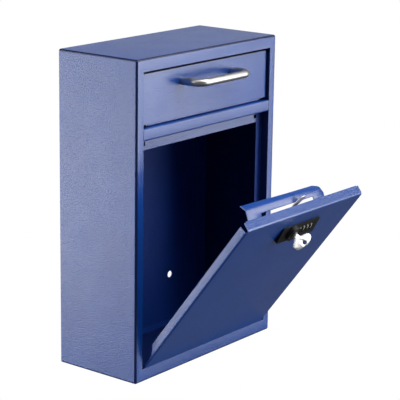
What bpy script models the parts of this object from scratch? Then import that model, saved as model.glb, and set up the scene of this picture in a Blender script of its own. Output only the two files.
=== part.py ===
"""A wall-mounted locking mailbox of folded sheet steel, in metres.

The cabinet has a drop flap with a bar handle at the top and a drop-down door below, open at rest,
with a key and combination lock. Each piece is modelled in millimetres in its own frame:

  cabinet  X from the middle, Y back from the front face, Z up from the bottom
  flap     the cabinet's frame, moved to the flap hinge's axis
  door     origin on the door hinge's axis, as if shut, then turned open by its empty

The world's origin is the middle of the cabinet's back, on the wall.
"""

import math

import bmesh
import bpy
from mathutils import Vector

MM = 0.001

# Cabinet
WIDTH = 284.5
DEPTH = 127.0
HEIGHT = 411.5
SHEET = 1.2
BEND = 2.2  # outside radius of a fold
GAP = 0.3  # left between pieces that are welded or screwed together
OPENING_HALF = 128.95  # half the width between the stiles
RAIL_TOP = 17.0
TOP_RAIL_BOTTOM = 395.5
MID_RAIL_BOTTOM = 310.0
MID_RAIL_TOP = 325.3
MID_RAIL_RETURN = 22.0
STRIP_BOTTOM = 295.5  # the strip that the lock's cam catches behind
STRIP_NOTCH = (112.25, 301.0, 306.0)
JAMB_DEPTH = 11.8
FLANGE_HALF = 118.05  # half the width between the jambs' flanges
BACK_FLANGE = 14.0
WALL_HOLE_RADIUS = 4.75
WALL_HOLES = [(side * 78.6, height) for side in (-1, 1) for height in (69.0, 342.5)]

# Hinges
HINGE_LENGTH = 230.0
KNUCKLES = 9
KNUCKLE_RADIUS = 1.9
KNUCKLE_BORE = 1.15
PIN_RADIUS = 0.95
LEAF = 0.9

# Drop flap, in the flap's frame
FLAP_AXIS = (0.0, 7.7, 327.5)
FLAP_HALF = 128.35
FLAP_FRONT = 4.2 - FLAP_AXIS[1]
FLAP_BOTTOM = 329.2 - FLAP_AXIS[2]
FLAP_TOP = 393.2 - FLAP_AXIS[2]
FLAP_RETURN = 7.0
HOPPER_RADIUS = 58.0
HOPPER_ANGLE = math.radians(58.0)
HOPPER_HALF = 116.5
HOPPER_SHEET = 0.9
HOPPER_EAR = 124.0
BAFFLE_START = 22.0
HANDLE_HALF = 50.8
HANDLE_HEIGHT = 374.5 - FLAP_AXIS[2]
HANDLE_REACH = -25.0 - FLAP_AXIS[1]
HANDLE_RADIUS = 5.0
HANDLE_BEND = 13.0

# Door, in the door's frame. DOOR_FACE is its outer face, and depths are measured back from it.
DOOR_AXIS = (0.0, 3.5, 18.17)
DOOR_OPEN = math.radians(37.04)
DOOR_FACE = -DOOR_AXIS[1]
DOOR_HALF = 125.0
DOOR_BOTTOM = 1.5
DOOR_TOP = 260.76
DOOR_TOP_DEPTH = 12.0
DOOR_TOP_RISE = 3.44
DOOR_SIDE_DEPTH = 11.3
DOOR_BEND = 2.8
DOOR_NOTCH = 257.6
GUARD_PATH = [(4.5, 260.5), (12.6, 262.85), (23.3, 270.0), (32.5, 268.0)]
GUARD_X = (-111.6, 47.8)
GUARD_SLOT_X = (-85.0, 24.5)
GUARD_SLOT_DEPTH = (12.6, 16.5)
# The guard's rear edge, from left to right, as (x, depth): a slow taper, then a cut corner
GUARD_REAR = [(-74, 31.4), (-24, 29.9), (33, 29.1), (40.3, 25.9), (43.6, 21.8), (49, 15.2)]

# Lock, on the door
PLUG_X = -9.25
PLUG_Z = 228.7
PLATE_X = (-34.2, 43.8)
PLATE_Z = (216.2, 240.2)
PLATE_PROUD = (5.0, 1.6)  # at the plate's bottom and top
BOSS_RADIUS = 11.2
BOSS_PROUD = 7.4
BARREL_RADIUS = 9.0
BARREL_PROUD = 7.0
PLUG_RADIUS = 6.0
PLUG_PROUD = 8.0
NUT_ACROSS_FLATS = 22.0
DIAL_X = [6.7, 14.5, 22.3, 30.1]
DIAL_Z = 228.5
DIAL_DEPTH = 2.2  # of the dials' axle behind the door's face
DIAL_RADIUS = 6.3
DIAL_HALF = 2.5
AXLE_RADIUS = 0.8
HOUSING_X = (2.2, 35.0)
PLATE_SCREWS = [(-29.0, "left"), (40.8, "right")]
PLATE_SCREW_Z = 220.0
KEY_TURN = math.radians(35.0)

X_AXIS = Vector((1, 0, 0))
Y_AXIS = Vector((0, 1, 0))
Z_AXIS = Vector((0, 0, 1))


# ---- Shapes: each is (vertices in mm, faces) ----


def prism(outline, across, up, along, low, high, origin=(0, 0, 0)):
    """An outline of (across, up) points, extruded from low to high."""
    origin = Vector(origin)
    count = len(outline)
    verts = [
        origin + a * across + b * up + end * along for end in (low, high) for a, b in outline
    ]
    sides = [
        (i, (i + 1) % count, count + (i + 1) % count, count + i) for i in range(count)
    ]
    return verts, [tuple(range(count)), tuple(range(count, 2 * count)), *sides]


def prism_x(outline, low, high):
    """An outline of (y, z) points, extruded along X."""
    return prism(outline, Y_AXIS, Z_AXIS, X_AXIS, low, high)


def prism_z(outline, low, high):
    """An outline of (x, y) points, extruded along Z."""
    return prism(outline, X_AXIS, Y_AXIS, Z_AXIS, low, high)


def box(low, high):
    corners = [(low[0], low[1]), (high[0], low[1]), (high[0], high[1]), (low[0], high[1])]
    return prism_z(corners, low[2], high[2])


def circle(radius, segments, centre=(0, 0), turn=0.0):
    angles = [turn + math.tau * i / segments for i in range(segments)]
    return [
        (centre[0] + radius * math.cos(a), centre[1] + radius * math.sin(a)) for a in angles
    ]


def cylinder_x(centre, radius, low, high, segments=16):
    return prism_x(circle(radius, segments, centre), low, high)


def cylinder_y(centre, radius, low, high, segments=24):
    """A cylinder along Y whose centre is (x, z)."""
    return prism(circle(radius, segments, centre), X_AXIS, Z_AXIS, Y_AXIS, low, high)


def turned(profile, origin, along, across, segments=24):
    """A solid of revolution from (radius, distance) points, closed on its axis at both ends."""
    other = along.cross(across)
    origin = Vector(origin)
    verts = []
    rings = []
    for radius, distance in profile:
        middle = origin + distance * along
        start = len(verts)
        if radius == 0:
            verts.append(middle)
            rings.append([start] * segments)
            continue
        verts += [middle + a * across + b * other for a, b in circle(radius, segments)]
        rings.append(list(range(start, start + segments)))
    faces = []
    for first, second in zip(rings, rings[1:]):
        for i in range(segments):
            j = (i + 1) % segments
            corners = [first[i], first[j], second[j], second[i]]
            faces.append(tuple(dict.fromkeys(corners)))
    return verts, faces


def joined(*shapes):
    verts = []
    faces = []
    for shape_verts, shape_faces in shapes:
        faces += [tuple(len(verts) + i for i in face) for face in shape_faces]
        verts += shape_verts
    return verts, faces


def filleted(points, radii, steps):
    """A path of (u, v) points whose inner corners are rounded, each with its own radius."""
    path = [Vector(points[0])]
    for before, corner, after, radius in zip(points, points[1:], points[2:], radii):
        into = (Vector(corner) - Vector(before)).normalized()
        out = (Vector(after) - Vector(corner)).normalized()
        turn = math.atan2(into.x * out.y - into.y * out.x, into.dot(out))
        start = Vector(corner) - into * radius * math.tan(abs(turn) / 2)
        side = math.copysign(1, turn)
        middle = start + side * radius * Vector((-into.y, into.x))
        arm = start - middle
        for step in range(steps + 1):
            a = turn * step / steps
            path.append(
                middle
                + Vector(
                    (
                        arm.x * math.cos(a) - arm.y * math.sin(a),
                        arm.x * math.sin(a) + arm.y * math.cos(a),
                    )
                )
            )
    return [*path, Vector(points[-1])]


def shifted(points, distance):
    """The path moved to its left, with its corners mitred."""
    ways = [(Vector(b) - Vector(a)).normalized() for a, b in zip(points, points[1:])]
    sides = [Vector((-way.y, way.x)) for way in ways]
    moved = [Vector(points[0]) + distance * sides[0]]
    for corner, first, second in zip(points[1:], sides, sides[1:]):
        moved.append(Vector(corner) + (first + second) * distance / (1 + first.dot(second)))
    return [*moved, Vector(points[-1]) + distance * sides[-1]]


def folded(path, thickness=SHEET, radius=BEND, steps=4):
    """The outline of a folded sheet that follows a path and has its thickness on the path's left."""
    near = []
    far = []
    for before, corner, after in zip(path, path[1:], path[2:]):
        into = Vector(corner) - Vector(before)
        out = Vector(after) - Vector(corner)
        left = into.x * out.y - into.y * out.x > 0
        near.append(radius if left else radius - thickness)
        far.append(radius - thickness if left else radius)
    outer = filleted(path, near, steps)
    inner = filleted(shifted(path, thickness), far, steps)
    return [*outer, *reversed(inner)]


def mirrored(outline):
    return [(-a, b) for a, b in outline]


# ---- Objects ----


def make_collection(name):
    collection = bpy.data.collections.new(name)
    bpy.context.scene.collection.children.link(collection)
    return collection


def make_material(name, colour, metallic, roughness):
    material = bpy.data.materials.new(name)
    material.use_nodes = True
    shader = material.node_tree.nodes["Principled BSDF"]
    shader.inputs["Base Color"].default_value = (*colour, 1)
    shader.inputs["Metallic"].default_value = metallic
    shader.inputs["Roughness"].default_value = roughness
    return material


def make_mesh(name, shape):
    verts, faces = shape
    mesh = bpy.data.meshes.new(name)
    mesh.from_pydata([MM * Vector(vert) for vert in verts], [], faces)
    work = bmesh.new()
    work.from_mesh(mesh)
    bmesh.ops.recalc_face_normals(work, faces=work.faces)
    work.to_mesh(mesh)
    work.free()
    return mesh


def add_empty(name, parent, place, turn=(0, 0, 0)):
    empty = bpy.data.objects.new(name, None)
    empty.empty_display_size = 0.02
    empty.parent = parent
    empty.location = MM * Vector(place)
    empty.rotation_euler = turn
    PARTS.objects.link(empty)
    return empty


def add_mesh(name, mesh, material, parent, smooth=False):
    obj = bpy.data.objects.new(name, mesh)
    obj.parent = parent
    mesh.materials.append(material)
    if smooth:
        mesh.shade_smooth()
        mesh.set_sharp_from_angle(angle=math.radians(32))
    PARTS.objects.link(obj)
    return obj


def add(name, shape, material, parent, smooth=False):
    return add_mesh(name, make_mesh(name, shape), material, parent, smooth)


def combine(obj, label, shape, operation):
    """Cuts a shape from an object, or joins one to it. The shape is in the object's frame."""
    helper = bpy.data.objects.new(f"{obj.name}_{label}", make_mesh(label, shape))
    helper.parent = obj.parent
    helper.hide_render = True
    helper.display_type = "WIRE"
    CUTTERS.objects.link(helper)
    boolean = obj.modifiers.new(label, "BOOLEAN")
    boolean.operation = operation
    boolean.solver = "EXACT"
    boolean.object = helper
    return obj


def cut(obj, label, *shapes):
    return combine(obj, label, joined(*shapes), "DIFFERENCE")


def join(obj, label, *shapes):
    return combine(obj, label, joined(*shapes), "UNION")


def add_open_box(name, low, high, rise, missing, material, parent, bend=BEND):
    """A box of folded sheet without the faces on the missing sides. Its top's back edge rises."""
    verts, faces = box(low, high)
    for vert in verts:
        if vert.z > high[2] - 0.1 and vert.y > high[1] - 0.1:
            vert.z += rise
    mesh = make_mesh(name, (verts, faces))
    work = bmesh.new()
    work.from_mesh(mesh)
    work.normal_update()
    gone = [
        face for face in work.faces if any(face.normal.dot(Vector(side)) > 0.9 for side in missing)
    ]
    bmesh.ops.delete(work, geom=gone, context="FACES")
    folds = [edge for edge in work.edges if len(edge.link_faces) == 2]
    bmesh.ops.bevel(
        work, geom=folds, offset=MM * bend, segments=4, profile=0.5, affect="EDGES"
    )
    work.to_mesh(mesh)
    work.free()
    obj = add_mesh(name, mesh, material, parent, smooth=True)
    solidify = obj.modifiers.new("sheet", "SOLIDIFY")
    solidify.thickness = MM * SHEET
    solidify.offset = -1
    solidify.use_even_offset = True
    return obj


def add_rod(name, points, radius, material, parent):
    curve = bpy.data.curves.new(name, "CURVE")
    curve.dimensions = "3D"
    curve.bevel_depth = MM * radius
    curve.bevel_resolution = 6
    curve.use_fill_caps = True
    spline = curve.splines.new("POLY")
    spline.points.add(len(points) - 1)
    for place, point in zip(spline.points, points):
        place.co = (*(MM * Vector(point)), 1)
    guide = bpy.data.objects.new(name + "_path", curve)
    CUTTERS.objects.link(guide)
    graph = bpy.context.evaluated_depsgraph_get()
    mesh = bpy.data.meshes.new_from_object(guide.evaluated_get(graph))
    bpy.data.objects.remove(guide)
    work = bmesh.new()
    work.from_mesh(mesh)
    bmesh.ops.remove_doubles(work, verts=work.verts, dist=1e-6)
    bmesh.ops.recalc_face_normals(work, faces=work.faces)
    work.to_mesh(mesh)
    work.free()
    return add_mesh(name, mesh, material, parent, smooth=True)


def add_hinge_leaf(name, way, side, reach, first, material, parent, origin=(0, 0, 0)):
    """A piano hinge's leaf, with every second knuckle from the first. It runs from the axis along
    way, and its plate is on the knuckles' side."""
    pitch = HINGE_LENGTH / KNUCKLES
    start = -HINGE_LENGTH / 2
    own = range(first, KNUCKLES, 2)
    edge = KNUCKLE_RADIUS + GAP
    comb = [(-start, reach), (start, reach), (start, edge)]
    for i in own:
        tab = (start + i * pitch + 0.5, start + (i + 1) * pitch - 0.5)
        comb += [(tab[0], edge), (tab[0], 0), (tab[1], 0), (tab[1], edge)]
    comb.append((-start, edge))
    outside = KNUCKLE_RADIUS - 0.05
    plate = prism(comb, X_AXIS, Vector(way), Vector(side), outside - LEAF, outside, origin)
    leaf = add(name, plate, material, parent, smooth=True)
    centre = origin[1:]
    knuckles = [
        cylinder_x(
            centre,
            KNUCKLE_RADIUS,
            start + i * pitch + 0.15,
            start + (i + 1) * pitch - 0.15,
        )
        for i in own
    ]
    join(leaf, "knuckles", *knuckles)
    return cut(leaf, "bore", cylinder_x(centre, KNUCKLE_BORE, 2 * start, -2 * start))


# ---- The cabinet ----


def build_cabinet(root):
    shell = add_open_box(
        "cabinet_shell",
        (-WIDTH / 2, 0, 0),
        (WIDTH / 2, DEPTH, HEIGHT),
        0,
        [Y_AXIS],
        PAINT,
        root,
    )
    window = box((-OPENING_HALF, -5, RAIL_TOP), (OPENING_HALF, 5, TOP_RAIL_BOTTOM))
    cut(shell, "window", window)

    inside = SHEET + GAP
    back = add_open_box(
        "back_panel",
        (-WIDTH / 2 + inside, DEPTH - BACK_FLANGE, inside),
        (WIDTH / 2 - inside, DEPTH, HEIGHT - inside),
        0,
        [-Y_AXIS],
        PAINT,
        root,
    )
    holes = [cylinder_y(place, WALL_HOLE_RADIUS, DEPTH - 5, DEPTH + 5) for place in WALL_HOLES]
    cut(back, "wall_holes", *holes)

    jamb = [
        (-OPENING_HALF, inside),
        (-OPENING_HALF, JAMB_DEPTH),
        (-FLANGE_HALF, JAMB_DEPTH),
    ]
    left = folded(jamb)
    right = mirrored(left)
    for name, low, high in (
        ("door_jamb", inside, MID_RAIL_BOTTOM - 1),
        ("flap_jamb", MID_RAIL_TOP + 0.5, HEIGHT - 4),
    ):
        add(name + "_left", prism_z(left, low, high), PAINT, root)
        add(name + "_right", prism_z(right, low, high), PAINT, root)

    rail_path = [
        (JAMB_DEPTH, STRIP_BOTTOM),
        (JAMB_DEPTH, MID_RAIL_BOTTOM),
        (0, MID_RAIL_BOTTOM),
        (0, MID_RAIL_TOP),
        (MID_RAIL_RETURN, MID_RAIL_TOP),
    ]
    half = OPENING_HALF - GAP
    outline = mirrored(folded(mirrored(rail_path)))
    rail = add("mid_rail", prism_x(outline, -half, half), PAINT, root)
    ends = []
    notch, low, high = STRIP_NOTCH
    for side in (-1, 1):
        outer = side * (OPENING_HALF + 5)
        inner = side * (FLANGE_HALF - GAP)
        step = side * notch
        plan = [(outer, STRIP_BOTTOM - 5), (inner, STRIP_BOTTOM - 5), (inner, low), (step, low)]
        plan += [(step, high), (inner, high), (inner, MID_RAIL_BOTTOM - 0.7)]
        plan.append((outer, MID_RAIL_BOTTOM - 0.7))
        ends.append(prism(plan, X_AXIS, Z_AXIS, Y_AXIS, JAMB_DEPTH - 4, JAMB_DEPTH + 4))
    cut(rail, "ends", *ends)


# ---- The drop flap ----


def build_flap(root):
    flap = add_empty("flap_axis", root, FLAP_AXIS)
    add_hinge_leaf(
        "flap_hinge_fixed_leaf", Y_AXIS, -Z_AXIS, 12.3, 0, ZINC, root, FLAP_AXIS
    )
    add_hinge_leaf("flap_hinge_flap_leaf", Z_AXIS, -Y_AXIS, 15.5, 1, ZINC, flap)
    reach = HINGE_LENGTH / 2 + 1
    pin = cylinder_x(FLAP_AXIS[1:], PIN_RADIUS, -reach, reach)
    add("flap_hinge_pin", pin, ZINC, root, smooth=True)

    back = FLAP_FRONT + FLAP_RETURN
    panel = add_open_box(
        "flap_panel",
        (-FLAP_HALF, FLAP_FRONT, FLAP_BOTTOM),
        (FLAP_HALF, back, FLAP_TOP),
        0,
        [Y_AXIS, -Z_AXIS],
        PAINT,
        flap,
    )
    inside = FLAP_FRONT + SHEET + GAP
    places = [(side * HANDLE_HALF, HANDLE_HEIGHT) for side in (-1, 1)]
    holes = [cylinder_y(place, 2.3, FLAP_FRONT - 5, inside + 1, 16) for place in places]
    cut(panel, "screw_holes", *holes)

    build_handle(flap, places, inside)
    build_hopper(flap, inside)


def build_handle(flap, places, inside):
    foot = FLAP_FRONT - GAP
    corners = [
        (-HANDLE_HALF, foot),
        (-HANDLE_HALF, HANDLE_REACH),
        (HANDLE_HALF, HANDLE_REACH),
        (HANDLE_HALF, foot),
    ]
    path = filleted(corners, [HANDLE_BEND, HANDLE_BEND], 8)
    points = [(x, y, HANDLE_HEIGHT) for x, y in path]
    handle = add_rod("handle", points, HANDLE_RADIUS, STAINLESS, flap)
    cut(handle, "threads", *[cylinder_y(place, 2.3, foot - 12, foot + 2, 16) for place in places])
    for (x, z), side in zip(places, ("left", "right")):
        profile = [(0, -12.0), (2.0, -12.0), (2.0, 0), (4.0, 0), (4.0, 1.6), (2.8, 2.6), (0, 2.6)]
        screw = turned(profile, (x, inside, z), Y_AXIS, X_AXIS)
        add("handle_screw_" + side, screw, ZINC, flap, smooth=True)


def build_hopper(flap, inside):
    def polar(radius, angle):
        return (radius * math.sin(angle), radius * math.cos(angle))

    start = math.asin(inside / HOPPER_RADIUS)
    arc = [
        polar(HOPPER_RADIUS, start + (HOPPER_ANGLE - start) * i / 12) for i in range(13)
    ]
    sector = [(inside, 4.5), *arc, polar(12, HOPPER_ANGLE), (inside + 4, 4.5)]
    rear = Vector((0, *polar(1, HOPPER_ANGLE)))
    front = X_AXIS.cross(rear)
    inner = HOPPER_HALF - HOPPER_SHEET
    for side, name in ((-1, "left"), (1, "right")):
        wing = add(
            "hopper_wing_" + name,
            prism_x(sector, side * inner, side * HOPPER_HALF),
            ZINC,
            flap,
        )
        root = side * (inner + 0.3)
        end = side * HOPPER_EAR
        foot = [(root, 19), (end, 19), (end, 52), (root, 52)]
        foot = prism(foot, X_AXIS, Z_AXIS, Y_AXIS, inside, inside + HOPPER_SHEET)
        ear = [(root, 50), (end, 50), (end, 57.5), (root, 57.5)]
        ear = prism(ear, X_AXIS, rear, front, 0.1, 0.1 + HOPPER_SHEET)
        join(wing, "foot_and_ear", foot, ear)
    baffle = folded(
        [polar(BAFFLE_START, HOPPER_ANGLE), polar(HOPPER_RADIUS - 1, HOPPER_ANGLE), (55.5, 35.5)],
        HOPPER_SHEET,
        2.0,
        3,
    )
    half = inner - GAP
    add("hopper_baffle", prism_x(baffle, -half, half), ZINC, flap)


# ---- The door ----


def deep(depth):
    """A distance behind the door's outer face, in the door's frame."""
    return DOOR_FACE + depth


def build_door(root):
    door = add_empty("door_axis", root, DOOR_AXIS, (DOOR_OPEN, 0, 0))
    add_hinge_leaf(
        "door_hinge_fixed_leaf", -Z_AXIS, -Y_AXIS, 14.0, 0, ZINC, root, DOOR_AXIS
    )
    add_hinge_leaf("door_hinge_door_leaf", Z_AXIS, -Y_AXIS, 18.0, 1, ZINC, door)
    reach = HINGE_LENGTH / 2 + 1
    pin = cylinder_x(DOOR_AXIS[1:], PIN_RADIUS, -reach, reach)
    add("door_hinge_pin", pin, ZINC, root, smooth=True)

    panel = add_open_box(
        "door_panel",
        (-DOOR_HALF, DOOR_FACE, DOOR_BOTTOM),
        (DOOR_HALF, deep(DOOR_TOP_DEPTH), DOOR_TOP),
        DOOR_TOP_RISE,
        [Y_AXIS, -Z_AXIS],
        PAINT,
        door,
        DOOR_BEND,
    )
    far = deep(30)
    low_ends = [
        (deep(3), DOOR_BOTTOM - 5),
        (deep(3), 21),
        (deep(5), 26.5),
        (deep(8), 32),
        (deep(DOOR_SIDE_DEPTH), 36),
        (deep(DOOR_SIDE_DEPTH), DOOR_NOTCH),
        (deep(-5), DOOR_NOTCH),
        (deep(-5), DOOR_TOP + 15),
        (far, DOOR_TOP + 15),
        (far, DOOR_BOTTOM - 5),
    ]
    trims = [
        prism_x(low_ends, side * (DOOR_HALF - DOOR_BEND), side * (DOOR_HALF + 10))
        for side in (-1, 1)
    ]
    cut(panel, "side_trims", *trims)
    clear_of_jambs = [
        box(
            (min(side * (FLANGE_HALF - GAP), side * (DOOR_HALF + 5)), deep(DOOR_SIDE_DEPTH), 255),
            (max(side * (FLANGE_HALF - GAP), side * (DOOR_HALF + 5)), deep(20), 275),
        )
        for side in (-1, 1)
    ]
    cut(panel, "top_end_trims", *clear_of_jambs)
    lock_holes = [
        box((HOUSING_X[0] + 0.4, deep(-5), 221), (HOUSING_X[1] - 0.4, deep(5), 236)),
        cylinder_y((PLUG_X, PLUG_Z), BARREL_RADIUS + 0.5, deep(-5), deep(5), 32),
    ]
    lock_holes += [
        cylinder_y((x, PLATE_SCREW_Z), 1.8, deep(-5), deep(5), 12) for x, _ in PLATE_SCREWS
    ]
    cut(panel, "lock_holes", *lock_holes)

    path = [(deep(depth), height) for depth, height in GUARD_PATH]
    outline = mirrored(folded(mirrored(path), steps=3))
    guard = add("latch_guard", prism_x(outline, *GUARD_X), PAINT, door)
    low, high = [deep(depth) for depth in GUARD_SLOT_DEPTH]
    slot = box((GUARD_SLOT_X[0], low, 250), (GUARD_SLOT_X[1], high, 280))
    behind = [(60, 15.2), (60, 45), (-120, 45), (-120, 32.6)]
    rear = [(x, deep(depth)) for x, depth in GUARD_REAR + behind]
    cut(guard, "cam_slot", slot)
    cut(guard, "rear_edge", prism_z(rear, 250, 280))
    return door


# ---- The lock ----


def build_lock(door):
    axis = Y_AXIS
    bottom, top = PLATE_Z
    wedge = [
        (deep(-GAP), bottom),
        (deep(-PLATE_PROUD[0]), bottom),
        (deep(-PLATE_PROUD[1]), top),
        (deep(-GAP), top),
    ]
    plate = add("lock_faceplate", prism_x(wedge, *PLATE_X), BLACK, door)
    middle = (PLUG_X, PLUG_Z)
    join(plate, "boss", cylinder_y(middle, BOSS_RADIUS, deep(-BOSS_PROUD), deep(-0.6), 40))
    windows = [
        box((x - 2.7, deep(-15), DIAL_Z - 5), (x + 2.7, deep(-1), DIAL_Z + 5)) for x in DIAL_X
    ]
    low, high = [edge + inset for edge, inset in zip(HOUSING_X, (1.4, -1.4))]
    relief = box((low, deep(-1.85), DIAL_Z - 6.2), (high, deep(1), DIAL_Z + 6.2))
    plug_hole = cylinder_y(middle, BARREL_RADIUS + 0.3, deep(-20), deep(5), 40)
    threads = [
        cylinder_y((x, PLATE_SCREW_Z), 1.8, deep(-3.6), deep(1), 12) for x, _ in PLATE_SCREWS
    ]
    cut(plate, "windows", *windows)
    cut(plate, "relief", relief, plug_hole, *threads)
    for x, side in PLATE_SCREWS:
        profile = [(0, -4.8), (1.5, -4.8), (1.5, 0), (2.4, 0), (2.4, 1.4), (1.6, 2.0), (0, 2.0)]
        place = (x, deep(SHEET + GAP), PLATE_SCREW_Z)
        screw = turned(profile, place, axis, X_AXIS, 16)
        add("faceplate_screw_" + side, screw, ZINC, door, smooth=True)

    barrel = cylinder_y(middle, BARREL_RADIUS, deep(-BARREL_PROUD), deep(11.6), 36)
    barrel = add("lock_barrel", barrel, DARK, door, smooth=True)
    cut(barrel, "bore", cylinder_y(middle, PLUG_RADIUS + 0.25, deep(-20), deep(20), 36))
    nut = circle(NUT_ACROSS_FLATS / 2 / math.cos(math.pi / 6), 6, middle, math.pi / 6)
    nut = prism(nut, X_AXIS, Z_AXIS, axis, deep(SHEET + GAP), deep(5))
    nut = add("lock_nut", nut, ZINC, door)
    cut(nut, "bore", cylinder_y(middle, BARREL_RADIUS + 0.3, deep(0), deep(10), 36))
    build_dials(door)
    build_plug(door)


def build_dials(door):
    low, high = HOUSING_X
    wall = 1.0
    depth = 10.5
    housing = box((low, deep(SHEET + GAP), 220.5), (high, deep(depth), 236.5))
    housing = add("dial_housing", housing, BLACK, door)
    hollow = box(
        (low + wall, deep(-5), 220.5 + wall), (high - wall, deep(depth - wall), 236.5 - wall)
    )
    centre = (deep(DIAL_DEPTH), DIAL_Z)
    cut(housing, "hollow", hollow)
    cut(housing, "axle_holes", cylinder_x(centre, AXLE_RADIUS + 0.3, low - 5, high + 5))
    axle = cylinder_x(centre, AXLE_RADIUS, low + 0.1, high + 1.4)
    add("dial_axle", axle, ZINC, door, smooth=True)
    for number, x in enumerate(DIAL_X, 1):
        place = add_empty(f"dial_{number}_axis", door, (x, *centre))
        dial = cylinder_x((0, 0), DIAL_RADIUS, -DIAL_HALF, DIAL_HALF, 20)
        dial = add(f"dial_{number}", dial, DIAL, place, smooth=True)
        cut(dial, "bore", cylinder_x((0, 0), AXLE_RADIUS + 0.25, -10, 10))


def build_plug(door):
    """The turning plug, its cam and screw, and the key. Y is still measured back into the door."""
    plug_axis = add_empty("plug_axis", door, (PLUG_X, 0, PLUG_Z))
    profile = [
        (0, deep(-PLUG_PROUD)),
        (PLUG_RADIUS - 0.4, deep(-PLUG_PROUD)),
        (PLUG_RADIUS, deep(0.4 - PLUG_PROUD)),
        (PLUG_RADIUS, deep(12.9)),
        (0, deep(12.9)),
    ]
    plug = turned(profile, (0, 0, 0), Y_AXIS, X_AXIS, 36)
    plug = add("lock_plug", plug, DARK, plug_axis, smooth=True)
    join(plug, "tail", box((-3.5, deep(12), -3.5), (3.5, deep(15.3), 3.5)))
    flat = Vector((math.cos(KEY_TURN), 0, math.sin(KEY_TURN)))
    edge = Vector((-math.sin(KEY_TURN), 0, math.cos(KEY_TURN)))
    keyway = [(-4.5, -1.5), (4.5, -1.5), (4.5, 1.5), (-4.5, 1.5)]
    keyway = prism(keyway, flat, edge, Y_AXIS, deep(-15), deep(10.4))
    thread = cylinder_y((0, 0), 1.8, deep(11.2), deep(20), 16)
    cut(plug, "keyway", keyway, thread)

    arm = [
        (-6.0, -4.5),
        (-2.5, -7.0),
        (2.5, -7.0),
        (6.0, -4.5),
        (0.6, 31.6),
        (7.0, 43.6),
        (7.1, 45.8),
        (5.4, 47.6),
        (1.0, 47.6),
        (-1.6, 46.6),
        (-3.3, 44.6),
        (-11.0, 30.4),
        (-11.4, 28.4),
    ]
    cam = prism(arm, X_AXIS, Z_AXIS, Y_AXIS, deep(13.7), deep(15.3))
    cam = add("lock_cam", cam, ZINC, plug_axis)
    cut(cam, "square_hole", box((-3.8, deep(10), -3.8), (3.8, deep(20), 3.8)))
    profile = [(0, -4.1), (1.5, -4.1), (1.5, 0), (4.6, 0), (4.6, 1.8), (3.4, 2.8), (0, 2.8)]
    screw = turned(profile, (0, deep(15.6), 0), Y_AXIS, X_AXIS)
    add("cam_screw", screw, ZINC, plug_axis, smooth=True)

    key_axis = add_empty("key_axis", plug_axis, (0, 0, 0))
    cuts = [
        (4.0, -6.0),
        (2.6, -5.0),
        (2.6, -3.6),
        (3.6, -2.4),
        (2.0, -0.6),
        (2.0, 0.6),
        (3.2, 2.0),
        (1.8, 3.4),
        (1.8, 4.6),
        (3.0, 6.0),
        (1.5, 8.0),
    ]
    back = [(-1.0, 8.0), (-4.0, 5.4), (-4.0, -11.8)]
    bow = [
        (-5.6, -13.0),
        (-8.6, -15.2),
        (-11.4, -18.4),
        (-12.0, -20.6),
        (-11.2, -24.4),
        (-8.8, -26.6),
        (-3.0, -27.3),
        (5.2, -27.3),
        (10.6, -25.2),
        (14.6, -22.0),
        (15.6, -19.4),
        (15.0, -16.4),
        (12.8, -14.6),
        (8.0, -13.8),
        (5.0, -13.0),
        (4.0, -12.2),
    ]
    outline = [(a, deep(b)) for a, b in cuts + back + bow]
    key = prism(outline, flat, Y_AXIS, edge, -1.1, 1.1)
    key = add("key", key, BRASS, key_axis)
    hole = circle(2.8, 20, (3.2, deep(-23.0)))
    cut(key, "hole", prism(hole, flat, Y_AXIS, edge, -5, 5))


for leftover in list(bpy.data.objects):
    bpy.data.objects.remove(leftover)

PARTS = make_collection("mailbox")
CUTTERS = make_collection("cutters")
PAINT = make_material("blue_paint", (0.01, 0.05, 0.32), 0.0, 0.35)
STAINLESS = make_material("stainless", (0.75, 0.75, 0.76), 1.0, 0.25)
ZINC = make_material("zinc_plate", (0.62, 0.63, 0.64), 1.0, 0.35)
BRASS = make_material("nickel_brass", (0.78, 0.76, 0.70), 1.0, 0.3)
BLACK = make_material("black_moulding", (0.015, 0.015, 0.017), 0.0, 0.4)
DIAL = make_material("dial", (0.012, 0.012, 0.013), 0.0, 0.4)
DARK = make_material("dark_plate", (0.06, 0.06, 0.065), 1.0, 0.3)

ROOT = add_empty("cabinet", None, (0, -DEPTH, -HEIGHT / 2))
build_cabinet(ROOT)
build_flap(ROOT)
build_lock(build_door(ROOT))
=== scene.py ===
"""The mailbox's looks: detailed folded-sheet pieces and procedural materials on the CAD frame."""

import math
import bmesh
import bpy
from mathutils import Matrix, Vector


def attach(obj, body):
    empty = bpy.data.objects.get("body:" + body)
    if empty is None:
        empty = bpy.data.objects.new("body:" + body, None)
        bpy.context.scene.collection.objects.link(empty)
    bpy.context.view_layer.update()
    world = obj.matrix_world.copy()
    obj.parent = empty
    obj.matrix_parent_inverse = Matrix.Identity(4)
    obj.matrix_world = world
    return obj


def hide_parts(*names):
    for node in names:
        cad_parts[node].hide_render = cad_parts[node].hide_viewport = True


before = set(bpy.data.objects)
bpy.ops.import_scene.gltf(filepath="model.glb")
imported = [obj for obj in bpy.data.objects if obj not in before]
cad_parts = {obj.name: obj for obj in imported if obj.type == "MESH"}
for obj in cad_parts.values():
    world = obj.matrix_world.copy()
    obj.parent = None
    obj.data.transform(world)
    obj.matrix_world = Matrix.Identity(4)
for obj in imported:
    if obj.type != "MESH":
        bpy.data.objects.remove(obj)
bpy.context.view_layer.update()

MM = 0.001

# ---- Dimensions in millimetres, as in the CAD part ----

WIDTH = 284.5
DEPTH = 127.0
HEIGHT = 411.5
SHEET = 1.2
BEND = 2.2
SHELL_BEND = 3.0
DOOR_BEND = 2.8
BEND_STEPS = 8
GAP = 0.3

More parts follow.
